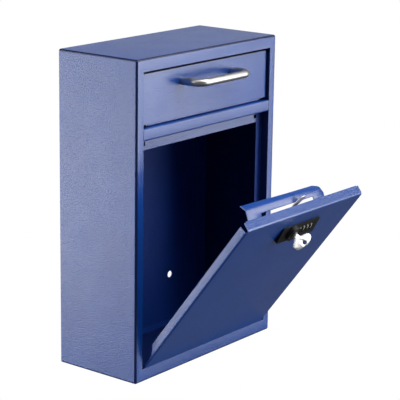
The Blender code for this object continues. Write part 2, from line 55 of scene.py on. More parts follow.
OPENING_HALF = 128.95
FLANGE_HALF = 118.05
JAMB_FRONT = 1.25
JAMB_DEPTH = 11.8
BACK_LIP = 14.0
RAIL_TOP = 17.0
TOP_RAIL_BOTTOM = 395.5
MID_RAIL_BOTTOM = 310.0
MID_RAIL_TOP = 325.3
MID_RAIL_SHELF = 22.0
STRIP_BOTTOM = 295.5
# A small chamfer along the opening's sides, which the bend coat paints dark as a shade line.
SHADE_LINE_CHAMFER = 0.7
WALL_HOLE_RADIUS = 4.75
WALL_HOLE_X = 78.6
WALL_HOLE_HEIGHTS = (69.0, 342.5)

FLAP_AXIS = Vector((0.0, 7.7, 327.5))
FLAP_HALF = 128.35
FLAP_FRONT = 4.2
FLAP_LIP = 7.0
FLAP_BOTTOM = 329.2
FLAP_TOP = 393.2
HANDLE_HEIGHT = 374.5
HANDLE_HALF = 50.8
HANDLE_FRONT = -25.0
HANDLE_RADIUS = 5.0
HANDLE_BEND = 13.0
SCREW_HOLE_RADIUS = 2.3

DOOR_AXIS = Vector((0.0, 3.5, 18.17))
DOOR_OPEN = math.radians(37.04)
DOOR_HALF = 125.0
DOOR_BOTTOM = 1.5
DOOR_TOP = 260.76
DOOR_LIP = 12.0
DOOR_LIP_RISE = 3.44
GUARD_ENDS = (-111.6, 47.8)
GUARD_PATH = [(4.5, 260.5), (12.6, 262.85), (23.3, 270.0), (32.5, 268.0)]
GUARD_REAR = [(-74, 31.4), (-24, 29.9), (33, 29.1), (40.3, 25.9), (43.6, 21.8), (49, 15.2)]

PLUG_X = -9.25
PLUG_Z = 228.7
PLUG_RADIUS = 6.0
PLUG_PROUD = 8.0
BARREL_RADIUS = 9.0
BARREL_PROUD = 7.0
BOSS_RADIUS = 11.2
BOSS_PROUD = 7.4
PLATE_LEFT = -34.2
PLATE_RIGHT = 43.8
PLATE_BOTTOM = 216.2
PLATE_TOP = 240.2
PLATE_CORNER = 2.2
HOUSING_LEFT = 2.2
HOUSING_RIGHT = 35.0
DIAL_X = (6.7, 14.5, 22.3, 30.1)
DIAL_Z = 228.5
DIAL_DEPTH = 2.2
DIAL_RADIUS = 6.3
DIAL_NOTCH = 0.5
DIAL_BORE = 1.05
DIGIT_SIZE = 4.4
DIGIT_PROUD = 0.05
CAM_OUTLINE = [
    (-6.0, -4.5), (-2.5, -7.0), (2.5, -7.0), (6.0, -4.5), (0.6, 31.6), (7.0, 43.6), (7.1, 45.8),
    (5.4, 47.6), (1.0, 47.6), (-1.6, 46.6), (-3.3, 44.6), (-11.0, 30.4), (-11.4, 28.4),
]
CAM_NEAR = 13.7
CAM_FAR = 15.3
KEY_TURN = math.radians(35.0)
KEY_HALF_THICK = 1.1
KEY_HOLE = (3.2, -23.0)
KEY_HOLE_RADIUS = 2.8
KEY_CUTS = [
    (4.0, -6.0), (2.6, -5.0), (2.6, -3.6), (3.6, -2.4), (2.0, -0.6), (2.0, 0.6),
    (3.2, 2.0), (1.8, 3.4), (1.8, 4.6), (3.0, 6.0), (1.5, 8.0),
]
KEY_BACK = [(-1.0, 8.0), (-4.0, 5.4), (-4.0, -11.8)]
KEY_BOW = [
    (-5.6, -13.0), (-8.6, -15.2), (-11.4, -18.4), (-12.0, -20.6), (-11.2, -24.4), (-8.8, -26.6),
    (-3.0, -27.3), (5.2, -27.3), (10.6, -25.2), (14.6, -22.0), (15.6, -19.4), (15.0, -16.4),
    (12.8, -14.6), (8.0, -13.8), (5.0, -13.0), (4.0, -12.2),
]

X_AXIS = Vector((1, 0, 0))
Y_AXIS = Vector((0, 1, 0))
Z_AXIS = Vector((0, 0, 1))

CABINET = Matrix.Translation(MM * Vector((0, -DEPTH, -HEIGHT / 2)))
FLAP = CABINET @ Matrix.Translation(MM * FLAP_AXIS)
DOOR = (
    CABINET
    @ Matrix.Translation(MM * DOOR_AXIS)
    @ Matrix.Rotation(DOOR_OPEN, 4, "X")
    @ Matrix.Translation(MM * Vector((0, -DOOR_AXIS.y, 0)))
)  # its Y is then the depth behind the door's outer face
PLUG = DOOR @ Matrix.Translation(MM * Vector((PLUG_X, 0, PLUG_Z)))

# ---- Camera ----

CAMERA_PLACE = (-1.5796, -1.3482, 0.52025)
CAMERA_YAW, CAMERA_PITCH, CAMERA_ROLL = (math.radians(a) for a in (52.0, 14.43, 0.86))
CAMERA_LENS = 143.91


def add_camera():
    camera = bpy.data.objects.new("camera", bpy.data.cameras.new("camera"))
    camera.data.lens = CAMERA_LENS
    camera.data.sensor_width = 36.0
    camera.data.clip_end = 50.0
    ahead = Vector(
        (
            math.sin(CAMERA_YAW) * math.cos(CAMERA_PITCH),
            math.cos(CAMERA_YAW) * math.cos(CAMERA_PITCH),
            -math.sin(CAMERA_PITCH),
        )
    )
    right = Vector((math.cos(CAMERA_YAW), -math.sin(CAMERA_YAW), 0))
    up = right.cross(ahead)
    cosine = math.cos(CAMERA_ROLL)
    sine = math.sin(CAMERA_ROLL)
    right, up = cosine * right + sine * up, cosine * up - sine * right
    turn = Matrix((right, up, -ahead)).transposed().to_4x4()
    camera.matrix_world = Matrix.Translation(CAMERA_PLACE) @ turn
    bpy.context.scene.collection.objects.link(camera)
    bpy.context.scene.camera = camera


# ---- Shapes: each is (vertices in mm, faces) ----


def prism(outline, across, up, along, low, high):
    count = len(outline)
    verts = [a * across + b * up + end * along for end in (low, high) for a, b in outline]
    sides = [(i, (i + 1) % count, count + (i + 1) % count, count + i) for i in range(count)]
    return verts, [tuple(range(count)), tuple(range(count, 2 * count)), *sides]


def prism_x(outline, low, high):
    return prism(outline, Y_AXIS, Z_AXIS, X_AXIS, low, high)


def prism_y(outline, low, high):
    return prism(outline, X_AXIS, Z_AXIS, Y_AXIS, low, high)


def prism_z(outline, low, high):
    return prism(outline, X_AXIS, Y_AXIS, Z_AXIS, low, high)


def box(low, high):
    corners = [(low[0], low[1]), (high[0], low[1]), (high[0], high[1]), (low[0], high[1])]
    return prism_z(corners, low[2], high[2])


def circle(radius, segments, centre=(0, 0)):
    x, y = centre
    angles = [math.tau * i / segments for i in range(segments)]
    return [(x + radius * math.cos(angle), y + radius * math.sin(angle)) for angle in angles]


def rounded(points, radius, steps=5):
    """A closed outline with its corners rounded."""
    count = len(points)
    out = []
    for i in range(count):
        before, corner, after = (Vector(points[(i + k - 1) % count]) for k in range(3))
        one = filleted([before, corner, after], [radius], steps)
        out += [tuple(p) for p in one[1:-1]]
    return out


def turned(profile, origin, segments=64, ring=False):
    """A solid turned about Y from (radius, distance) points. A ring's profile closes on itself."""
    other = Y_AXIS.cross(X_AXIS)
    origin = Vector(origin)
    verts, rings, faces = [], [], []
    for radius, distance in profile:
        middle = origin + distance * Y_AXIS
        start = len(verts)
        if radius == 0:
            verts.append(middle)
            rings.append([start] * segments)
            continue
        verts += [middle + a * X_AXIS + b * other for a, b in circle(radius, segments)]
        rings.append(list(range(start, start + segments)))
    pairs = list(zip(rings, rings[1:]))
    if ring:
        pairs.append((rings[-1], rings[0]))
    for first, second in pairs:
        for i in range(segments):
            j = (i + 1) % segments
            faces.append(tuple(dict.fromkeys([first[i], first[j], second[j], second[i]])))
    return verts, faces


def joined(*shapes):
    verts, faces = [], []
    for shape_verts, shape_faces in shapes:
        faces += [tuple(len(verts) + i for i in face) for face in shape_faces]
        verts += shape_verts
    return verts, faces


def filleted(points, radii, steps):
    """An open path with an arc at each inner corner."""
    path = [Vector(points[0])]
    for before, corner, after, radius in zip(points, points[1:], points[2:], radii):
        into = (Vector(corner) - Vector(before)).normalized()
        out = (Vector(after) - Vector(corner)).normalized()
        turn = math.atan2(into.x * out.y - into.y * out.x, into.dot(out))
        start = Vector(corner) - into * radius * math.tan(abs(turn) / 2)
        middle = start + math.copysign(radius, turn) * Vector((-into.y, into.x))
        arm = start - middle
        for step in range(steps + 1):
            cosine = math.cos(turn * step / steps)
            sine = math.sin(turn * step / steps)
            spoke = Vector((arm.x * cosine - arm.y * sine, arm.x * sine + arm.y * cosine))
            path.append(middle + spoke)
    return [*path, Vector(points[-1])]


def shifted(points, distance):
    """An open path moved to its left."""
    ways = [(Vector(b) - Vector(a)).normalized() for a, b in zip(points, points[1:])]
    sides = [Vector((-way.y, way.x)) for way in ways]
    moved = [Vector(points[0]) + distance * sides[0]]
    for corner, first, second in zip(points[1:], sides, sides[1:]):
        moved.append(Vector(corner) + (first + second) * distance / (1 + first.dot(second)))
    return [*moved, Vector(points[-1]) + distance * sides[-1]]


def folded(path):
    """The outline of a folded sheet that follows a path, with its thickness on the path's left."""
    near, far = [], []
    for before, corner, after in zip(path, path[1:], path[2:]):
        into = Vector(corner) - Vector(before)
        out = Vector(after) - Vector(corner)
        left = into.x * out.y - into.y * out.x > 0
        near.append(BEND if left else BEND - SHEET)
        far.append(BEND - SHEET if left else BEND)
    outer = filleted(path, near, BEND_STEPS)
    return [*outer, *reversed(filleted(shifted(path, SHEET), far, BEND_STEPS))]


def mirrored(outline):
    return [(-a, b) for a, b in outline]


# ---- Objects ----


def make_mesh(name, shape):
    verts, faces = shape
    mesh = bpy.data.meshes.new(name)
    mesh.from_pydata([MM * Vector(vert) for vert in verts], [], faces)
    work = bmesh.new()
    work.from_mesh(mesh)
    bmesh.ops.recalc_face_normals(work, faces=work.faces)
    work.to_mesh(mesh)
    work.free()
    return mesh


def add_mesh(name, mesh, material, place, body, replaced=(), slot=None):
    obj = bpy.data.objects.new(name, mesh)
    bpy.context.scene.collection.objects.link(obj)
    obj.matrix_world = place
    mesh.materials.clear()
    mesh.materials.append(material)
    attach(obj, body)
    if replaced:
        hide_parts(*replaced)
    return obj


def add(name, shape, *args, **options):
    return add_mesh(name, make_mesh(name, shape), *args, **options)


def combine(obj, shape, operation):
    """Applies a Boolean with a shape given in the object's own frame."""
    helper = bpy.data.objects.new("helper", make_mesh("helper", shape))
    bpy.context.scene.collection.objects.link(helper)
    helper.matrix_world = obj.matrix_world
    boolean = obj.modifiers.new("boolean", "BOOLEAN")
    boolean.operation = operation
    boolean.solver = "EXACT"
    boolean.object = helper
    apply_modifiers(obj)
    bpy.data.objects.remove(helper)
    return obj


def cut(obj, *shapes):
    return combine(obj, joined(*shapes), "DIFFERENCE")


def join(obj, *shapes):
    return combine(obj, joined(*shapes), "UNION")


def apply_modifiers(obj):
    bpy.context.view_layer.update()
    graph = bpy.context.evaluated_depsgraph_get()
    mesh = bpy.data.meshes.new_from_object(obj.evaluated_get(graph))
    obj.modifiers.clear()
    obj.data = mesh


def finish(obj, round_edge=0.0, angle=30.0, segments=2):
    """Rounds a piece's edges a little, and shades it smooth but for its sharp edges."""
    if round_edge:
        bevel = obj.modifiers.new("edges", "BEVEL")
        bevel.width = MM * round_edge
        bevel.segments = segments
        bevel.limit_method = "ANGLE"
        bevel.angle_limit = math.radians(40)
        apply_modifiers(obj)
    obj.data.shade_smooth()
    obj.data.set_sharp_from_angle(angle=math.radians(angle))
    return obj


def open_box_mesh(name, low, high, rise, missing, bend):
    """A box's outer skin with bent edges, without its missing sides. Its top rises at the back."""
    verts, faces = box(low, high)
    for vert in verts:
        if vert.z > high[2] - 0.1 and vert.y > high[1] - 0.1:
            vert.z += rise
    mesh = make_mesh(name, (verts, faces))
    work = bmesh.new()
    work.from_mesh(mesh)
    work.normal_update()
    gone = [face for face in work.faces if any(face.normal.dot(side) > 0.9 for side in missing)]
    bmesh.ops.delete(work, geom=gone, context="FACES")
    folds = [edge for edge in work.edges if len(edge.link_faces) == 2]
    bmesh.ops.bevel(
        work, geom=folds, offset=MM * bend, segments=BEND_STEPS, profile=0.5, affect="EDGES"
    )
    work.to_mesh(mesh)
    work.free()
    return mesh


def add_open_box(name, low, high, rise, missing, *args, bend=BEND, **options):
    mesh = open_box_mesh(name, low, high, rise, missing, bend)
    obj = add_mesh(name, mesh, *args, **options)
    solidify = obj.modifiers.new("sheet", "SOLIDIFY")
    solidify.thickness = MM * SHEET
    solidify.offset = -1
    solidify.use_even_offset = True
    apply_modifiers(obj)
    return obj


# ---- Materials ----


class Nodes:
    """A small helper that builds one material's node tree."""

    def __init__(self, name):
        self.material = bpy.data.materials.new(name)
        self.material.use_nodes = True
        self.tree = self.material.node_tree
        self.shader = self.tree.nodes["Principled BSDF"]
        self.place = self.add("ShaderNodeTexCoord").outputs["Object"]

    def add(self, kind):
        return self.tree.nodes.new(kind)

    def link(self, source, target):
        self.tree.links.new(source, target)

    def set(self, **values):
        for key, value in values.items():
            self.shader.inputs[key.replace("_", " ")].default_value = value

    def noise(self, scale, detail=2.0, roughness=0.5, stretch=None):
        node = self.add("ShaderNodeTexNoise")
        node.inputs["Scale"].default_value = scale
        node.inputs["Detail"].default_value = detail
        node.inputs["Roughness"].default_value = roughness
        place = self.place
        if stretch:
            mapping = self.add("ShaderNodeMapping")
            mapping.inputs["Scale"].default_value = stretch
            self.link(place, mapping.inputs["Vector"])
            place = mapping.outputs["Vector"]
        self.link(place, node.inputs["Vector"])
        return node.outputs["Fac"]

    def ramp(self, value, low, high, start=0.0, end=1.0):
        """Maps a value from start..end to low..high, which are numbers or colours."""
        if isinstance(low, tuple):
            node = self.add("ShaderNodeValToRGB")
            node.color_ramp.elements[0].position = start
            node.color_ramp.elements[1].position = end
            node.color_ramp.elements[0].color = (*low, 1)
            node.color_ramp.elements[1].color = (*high, 1)
            self.link(value, node.inputs["Fac"])
            return node.outputs["Color"]
        node = self.add("ShaderNodeMapRange")
        limits = {"From Min": start, "From Max": end, "To Min": low, "To Max": high}
        for key, number in limits.items():
            node.inputs[key].default_value = number
        self.link(value, node.inputs["Value"])
        return node.outputs["Result"]

    def bump(self, height, strength, distance, below=None):
        node = self.add("ShaderNodeBump")
        node.inputs["Strength"].default_value = strength
        node.inputs["Distance"].default_value = distance
        self.link(height, node.inputs["Height"])
        if below is not None:
            self.link(below, node.inputs["Normal"])
        return node.outputs["Normal"]

    def wire(self, **sockets):
        for key, source in sockets.items():
            self.link(source, self.shader.inputs[key.replace("_", " ")])
        return self.material


# Noise scales are per metre, and bump depths are in metres.
PEEL_SCALE = 640.0
PEEL_DEPTH = 0.00036
GRAIN_SCALE = 1500.0
GRAIN_DEPTH = 0.0001


def powder_coat(name, dark, light, rough, index=1.7, peel_depth=PEEL_DEPTH):
    """Semi-gloss textured powder coat: an orange-peel skin with a slow drift in tone and gloss."""
    nodes = Nodes(name)
    nodes.set(Metallic=0.0, IOR=index)
    peel = nodes.noise(PEEL_SCALE, 2.0, 0.55)
    grain = nodes.noise(GRAIN_SCALE, 1.0)
    skin = nodes.bump(grain, 0.25, GRAIN_DEPTH, nodes.bump(peel, 1.0, peel_depth))
    tone = nodes.ramp(nodes.noise(18.0, 3.0), dark, light, 0.3, 0.7)
    gloss = nodes.ramp(nodes.noise(30.0, 2.0), rough - 0.03, rough + 0.03, 0.3, 0.7)
    return nodes.wire(Base_Color=tone, Roughness=gloss, Normal=skin)


def metal(name, dark, light, rough, stretch=None, scale=400.0, strength=0.06):
    """Bare or plated metal with fine scratches, which a stretch turns into brushing."""
    nodes = Nodes(name)
    nodes.set(Metallic=1.0)
    streaks = nodes.noise(scale, 3.0, 0.6, stretch)
    tone = nodes.ramp(nodes.noise(60.0, 2.0), dark, light, 0.3, 0.7)
    gloss = nodes.ramp(streaks, rough * 0.75, rough * 1.3, 0.3, 0.7)
    scratches = nodes.bump(streaks, strength, GRAIN_DEPTH)
    return nodes.wire(Base_Color=tone, Roughness=gloss, Normal=scratches)


def moulding(name, dark, light, rough):
    """Satin plastic with a fine grain."""
    nodes = Nodes(name)
    nodes.set(Metallic=0.0, IOR=1.34)
    grain = nodes.noise(2200.0, 2.0)
    tone = nodes.ramp(nodes.noise(90.0, 2.0), dark, light, 0.3, 0.7)
    gloss = nodes.ramp(grain, rough - 0.05, rough + 0.05, 0.3, 0.7)
    skin = nodes.bump(grain, 0.12, GRAIN_DEPTH)
    return nodes.wire(Base_Color=tone, Roughness=gloss, Normal=skin)


PAINT = powder_coat("blue_powder_coat", (0.0040, 0.056, 0.300), (0.0052, 0.064, 0.335), 0.20)
# Painted shade: a darker, less glossy copy of the paint for the back tray's inner faces and the
# jamb folds.
BACK_SHADE_COAT = powder_coat("painted_shade_back_coat", (0.003, 0.028, 0.190), (0.004, 0.032, 0.215), 0.50, 1.3)
# Painted shade: a much darker copy of the paint for bent and chamfered faces.
BEND_SHADE_COAT = powder_coat(
    "painted_shade_bend_coat", (0.0008, 0.010, 0.070), (0.0010, 0.012, 0.080), 0.20, 1.5
)
# A lighter copy of the paint with a coarser peel for the door's top lip: painted light, on a real
# coarser texture.
LIT_TOP_COAT = powder_coat(
    "coarse_lit_top_coat", (0.004, 0.062, 0.32), (0.006, 0.070, 0.35), 0.20, 1.7, 0.0014
)
# Painted highlight: a lighter, more reflective copy of the paint for the door's top bend.
HIGHLIGHT_EDGE_COAT = powder_coat(
    "painted_highlight_edge_coat", (0.005, 0.065, 0.33), (0.006, 0.072, 0.36), 0.20, 1.95
)
# Painted light: a lighter, less reflective copy of the paint for the guard's top lip.
LIT_LIP_COAT = powder_coat("painted_light_lip_coat", (0.0040, 0.062, 0.33), (0.0052, 0.070, 0.36), 0.30, 1.4)
STAINLESS = metal(
    "stainless_bar", (0.52, 0.51, 0.50), (0.60, 0.59, 0.58), 0.33, (1, 14, 14), strength=0.02
)
ZINC = metal("zinc_plate", (0.60, 0.61, 0.62), (0.72, 0.72, 0.73), 0.34)
NICKEL = metal("nickel_key", (0.80, 0.80, 0.80), (0.90, 0.90, 0.90), 0.26, scale=900.0)
# Painted shade: a much darker copy of the paint for faces inside the box.
INSIDE_SHADE_COAT = powder_coat(
    "painted_shade_inside_coat", (0.0015, 0.009, 0.075), (0.0020, 0.012, 0.090), 0.42, 1.4
)
DARK = metal("dark_plate", (0.05, 0.05, 0.055), (0.08, 0.08, 0.085), 0.30)
BLACK = moulding("black_moulding", (0.006, 0.006, 0.007), (0.009, 0.009, 0.010), 0.42)
DIAL = moulding("dial_black", (0.008, 0.008, 0.009), (0.011, 0.011, 0.012), 0.30)
PRINT = moulding("dial_print", (0.80, 0.80, 0.79), (0.86, 0.86, 0.85), 0.45)


def coat_faces(obj, coat, wanted):
    """Gives the faces that are wanted, from their middle in mm and their normal, another coat."""
    obj.data.materials.append(coat)
    last = len(obj.data.materials) - 1
    for face in obj.data.polygons:
        if wanted(face.center / MM, face.normal):
            face.material_index = last


def coat_inside(obj, coat, half_width, front, back, top):
    """Faces within these limits get a darker copy of the paint: painted shade inside the box."""

    def inside(middle, normal):
        x, y, z = middle
        return abs(x) < half_width and front < y < back and HEIGHT - top < z < top

    coat_faces(obj, coat, inside)


def coat_bends(obj):
    """The bent faces get a much darker copy of the paint: painted shade along every bend."""
    coat_faces(obj, BEND_SHADE_COAT, lambda middle, normal: max(map(abs, normal)) < 0.99)


def coat_top(obj, coat, above, least, most=1.1):
    """Faces above this height get a lighter coat, painted light, if they look up this much."""
    coat_faces(obj, coat, lambda middle, normal: least < normal.z < most and middle.z > above)


# ---- Cabinet ----


def build_shell():
    shell = add_open_box(
        "shell",
        (-WIDTH / 2, 0, 0),
        (WIDTH / 2, DEPTH, HEIGHT),
        0,
        [Y_AXIS],
        PAINT,
        CABINET,
        "cabinet",
        bend=SHELL_BEND,
        replaced=["cabinet_shell"],
        slot="blue_paint",
    )
    cut(shell, box((-OPENING_HALF, -5, RAIL_TOP), (OPENING_HALF, 5, TOP_RAIL_BOTTOM)))
    # Each side of the opening gets a small chamfer, which the bend coat paints dark: a painted
    # shade line.
    for side in (-1, 1):
        inner = side * (OPENING_HALF - 0.1)
        outer = side * (OPENING_HALF + SHADE_LINE_CHAMFER)
        wedge = [(outer, -0.1), (inner, SHADE_LINE_CHAMFER), (inner, -0.1)]
        cut(shell, prism_z(wedge, RAIL_TOP, TOP_RAIL_BOTTOM))
    finish(shell)
    # Painted shade: the inner faces get the dark inside coat.
    coat_inside(shell, INSIDE_SHADE_COAT, WIDTH / 2 - 0.9, 0.9, DEPTH + 1, HEIGHT - 0.9)
    # Painted shade: the bends and the opening's chamfers get the dark bend coat.
    coat_bends(shell)


def build_back():
    inside = SHEET + GAP
    back = add_open_box(
        "back_tray",
        (-WIDTH / 2 + inside, DEPTH - BACK_LIP, inside),
        (WIDTH / 2 - inside, DEPTH, HEIGHT - inside),
        0,
        [-Y_AXIS],
        PAINT,
        CABINET,
        "cabinet",
        replaced=["back_panel"],
        slot="blue_paint",
    )
    holes = [
        prism_y(circle(WALL_HOLE_RADIUS, 32, (side * WALL_HOLE_X, height)), DEPTH - 5, DEPTH + 5)
        for side in (-1, 1)
        for height in WALL_HOLE_HEIGHTS
    ]
    finish(cut(back, *holes))
    # Painted shade on the back tray's inner faces.
    coat_inside(back, BACK_SHADE_COAT, WIDTH / 2, 0, DEPTH - 0.9, HEIGHT)


def build_jambs():
    path = [
        (-OPENING_HALF, JAMB_FRONT),
        (-OPENING_HALF, JAMB_DEPTH),
        (-FLANGE_HALF, JAMB_DEPTH),
    ]
    left = folded(path)
    for name, low, high in (
        ("door_jamb", SHEET + GAP, MID_RAIL_BOTTOM - 1),
        ("flap_jamb", MID_RAIL_TOP + 0.5, HEIGHT - 4),
    ):
        for side, outline in (("left", left), ("right", mirrored(left))):
            node = f"{name}_{side}"
            # Painted shade: the folds take the darker back coat.
            fold = add(
                f"{node}_fold",
                prism_z(outline, low, high),
                BACK_SHADE_COAT,
                CABINET,
                "cabinet",
                replaced=[node],
                slot="blue_paint",
            )
            finish(fold, 0.15)
            # Painted shade on the folds' returns.
            coat_inside(fold, INSIDE_SHADE_COAT, OPENING_HALF + 2, 0, JAMB_DEPTH - 0.9, HEIGHT)


def build_middle_rail():
    path = [
        (JAMB_DEPTH, STRIP_BOTTOM),
        (JAMB_DEPTH, MID_RAIL_BOTTOM),
        (0, MID_RAIL_BOTTOM),
        (0, MID_RAIL_TOP),
        (MID_RAIL_SHELF, MID_RAIL_TOP),
    ]
    half = OPENING_HALF - 0.05
    rail = add(
        "middle_rail",
        prism_x(mirrored(folded(mirrored(path))), -half, half),
        PAINT,
        CABINET,
        "cabinet",
        replaced=["mid_rail"],
        slot="blue_paint",
    )
    ends = []
    for side in (-1, 1):
        outer = side * 134.0
        inner = side * (FLANGE_HALF - GAP)
        notch = side * 112.25
        plan = [(outer, 290), (inner, 290), (inner, 301), (notch, 301), (notch, 306)]
        plan += [(inner, 306), (inner, 309.3), (outer, 309.3)]
        ends.append(prism_y(plan, JAMB_DEPTH - 4, JAMB_DEPTH + 4))
    finish(cut(rail, *ends))


# ---- Flap ----


def build_flap():
    front = FLAP_FRONT - FLAP_AXIS.y
    panel = add_open_box(
        "drop_flap",
        (-FLAP_HALF, front, FLAP_BOTTOM - FLAP_AXIS.z),
        (FLAP_HALF, front + FLAP_LIP, FLAP_TOP - FLAP_AXIS.z),
        0,
        [Y_AXIS, -Z_AXIS],
        PAINT,
        FLAP,
        "flap",
        replaced=["flap_panel"],
        slot="blue_paint",
    )
    height = HANDLE_HEIGHT - FLAP_AXIS.z
    holes = [
        prism_y(circle(SCREW_HOLE_RADIUS, 20, (x, height)), front - 5, front + 3)
        for x in (-HANDLE_HALF, HANDLE_HALF)
    ]
    finish(cut(panel, *holes))
    # Painted shade along the flap's bends.
    coat_bends(panel)
    build_handle(front - 0.02, HANDLE_FRONT - FLAP_AXIS.y, height)


def build_handle(foot, reach, height):
    corners = [
        (-HANDLE_HALF, foot),
        (-HANDLE_HALF, reach),
        (HANDLE_HALF, reach),
        (HANDLE_HALF, foot),
    ]
    path = filleted(corners, [HANDLE_BEND, HANDLE_BEND], 20)
    curve = bpy.data.curves.new("bar", "CURVE")
    curve.dimensions = "3D"
    curve.bevel_depth = MM * HANDLE_RADIUS
    curve.bevel_resolution = 12
    curve.use_fill_caps = True
    spline = curve.splines.new("POLY")
    spline.points.add(len(path) - 1)
    for place, point in zip(spline.points, path):
        place.co = (MM * point.x, MM * point.y, MM * height, 1)
    guide = bpy.data.objects.new("guide", curve)
    bpy.context.scene.collection.objects.link(guide)
    graph = bpy.context.evaluated_depsgraph_get()
    mesh = bpy.data.meshes.new_from_object(guide.evaluated_get(graph))
    bpy.data.objects.remove(guide)
    bar = add_mesh(
        "handle_bar", mesh, STAINLESS, FLAP, "flap", replaced=["handle"], slot="stainless"
    )
    finish(bar, angle=50)


# ---- Door ----


def build_door_panel():
    panel = add_open_box(
        "drop_door",
        (-DOOR_HALF, 0, DOOR_BOTTOM),
        (DOOR_HALF, DOOR_LIP, DOOR_TOP),
        DOOR_LIP_RISE,
        [Y_AXIS, -Z_AXIS],
        PAINT,
        DOOR,
        "door",
        bend=DOOR_BEND,
        replaced=["door_panel"],
        slot="blue_paint",
    )
    # The side lips' rear edges: narrow at the hinge, and cut off below the top lip.
    lips = [(3, -5), (3, 21), (4.2, 24.5), (6, 28.5), (8.4, 32.5), (11.3, 36), (11.3, 257.6)]
    lips += [(-5, 257.6), (-5, 280), (30, 280), (30, -5)]
    trims = [
        prism_x(lips, side * (DOOR_HALF - DOOR_BEND), side * (DOOR_HALF + 10)) for side in (-1, 1)
    ]
    cut(panel, *trims)
    # The top lip's ends stay clear of the jambs' flanges.
    ends = [(FLANGE_HALF - GAP, 5 + DOOR_HALF), (-5 - DOOR_HALF, GAP - FLANGE_HALF)]
    cut(panel, *[box((low, 11.3, 255), (high, 20, 275)) for low, high in ends])
    holes = [
        box((HOUSING_LEFT + 0.4, -5, 221), (HOUSING_RIGHT - 0.4, 5, 236)),
        prism_y(circle(9.5, 40, (PLUG_X, PLUG_Z)), -5, 5),
    ]
    finish(cut(panel, *holes))
    # Painted light: a lighter coat on the door's top lip.
    coat_top(panel, LIT_TOP_COAT, DOOR_TOP - 4, 0.9)
    # Painted highlight: a lighter, more reflective coat on the door's top bend.
    coat_top(panel, HIGHLIGHT_EDGE_COAT, DOOR_TOP - 4, 0.1, 0.9)


def build_guard():
    guard = add(
        "guard_strip",
        prism_x(mirrored(folded(mirrored(GUARD_PATH))), *GUARD_ENDS),
        PAINT,
        DOOR,
        "door",
        replaced=["latch_guard"],
        slot="blue_paint",
    )
    behind = GUARD_REAR + [(60, 15.2), (60, 45), (-120, 45), (-120, 32.6)]
    cut(guard, box((-85.0, 12.6, 250), (24.5, 16.5, 280)))
    finish(cut(guard, prism_z(behind, 250, 280)), 0.12)
    # Painted light: a lighter coat on the guard's top lip.
    coat_top(guard, LIT_LIP_COAT, 265, 0.9)


# ---- Lock ----


def build_faceplate():
    wedge = [
        (-0.05, PLATE_BOTTOM),
        (-5.0, PLATE_BOTTOM),
        (-1.6, PLATE_TOP),
        (-0.05, PLATE_TOP),
    ]
    plate = add(
        "lock_plate",
        prism_x(wedge, PLATE_LEFT, PLATE_RIGHT),
        BLACK,
        DOOR,
        "door",
        replaced=["lock_faceplate"],
        slot="black_moulding",
    )
    front = [
        (PLATE_LEFT, PLATE_BOTTOM),
        (PLATE_RIGHT, PLATE_BOTTOM),
        (PLATE_RIGHT, PLATE_TOP),
        (PLATE_LEFT, PLATE_TOP),
    ]
    combine(plate, prism_y(rounded(front, PLATE_CORNER), -10, 1), "INTERSECT")
    join(plate, prism_y(circle(BOSS_RADIUS, 64, (PLUG_X, PLUG_Z)), -BOSS_PROUD, -0.6))
    windows = [
        box((x - 2.7, -15, DIAL_Z - 5.4), (x + 2.7, -1, DIAL_Z + 5.4)) for x in DIAL_X
    ]
    cut(plate, *windows)
    cut(
        plate,
        box(
            (HOUSING_LEFT + 1.4, -1.85, DIAL_Z - 6.2), (HOUSING_RIGHT - 1.4, 1, DIAL_Z + 6.2)
        ),
        prism_y(circle(BARREL_RADIUS + GAP, 64, (PLUG_X, PLUG_Z)), -20, 5),
    )
    finish(plate, 0.35, segments=3)


def build_lock():
    rim = 0.3
    front, rear, bore = -BARREL_PROUD, 11.6, 6.2
    ring = [
        (bore, front + rim),
        (bore + rim, front),
        (BARREL_RADIUS - rim, front),
        (BARREL_RADIUS, front + rim),
        (BARREL_RADIUS, rear),
        (bore, rear),
    ]
    barrel = turned(ring, (PLUG_X, 0, PLUG_Z), ring=True)
    finish(
        add("barrel", barrel, DARK, DOOR, "door", replaced=["lock_barrel"], slot="dark_plate")
    )

    for number, x in enumerate(DIAL_X, 1):
        build_dial(number, x)

    front, rear = -PLUG_PROUD, 12.9
    profile = [
        (0, front),
        (PLUG_RADIUS - 0.5, front),
        (PLUG_RADIUS, front + 0.4),
        (PLUG_RADIUS, rear),
        (0, rear),
    ]
    plug = turned(profile, (0, 0, 0))
    plug = add("plug", plug, DARK, PLUG, "lock_plug", replaced=["lock_plug"], slot="dark_plate")
    join(plug, box((-3.5, 12, -3.5), (3.5, CAM_FAR, 3.5)))
    flat = Vector((math.cos(KEY_TURN), 0, math.sin(KEY_TURN)))
    edge = Vector((-math.sin(KEY_TURN), 0, math.cos(KEY_TURN)))
    keyway = [(-4.5, -1.5), (4.5, -1.5), (4.5, 1.5), (-4.5, 1.5)]
    cut(plug, prism(keyway, flat, edge, Y_AXIS, -15, 10.4))
    finish(plug, 0.15)

    cam = prism_y(CAM_OUTLINE, CAM_NEAR, CAM_FAR)
    cam = add("cam", cam, ZINC, PLUG, "lock_plug", replaced=["lock_cam"], slot="zinc_plate")
    cut(cam, box((-3.8, 10, -3.8), (3.8, 20, 3.8)))
    finish(cam, 0.3)
    build_key(flat, edge)


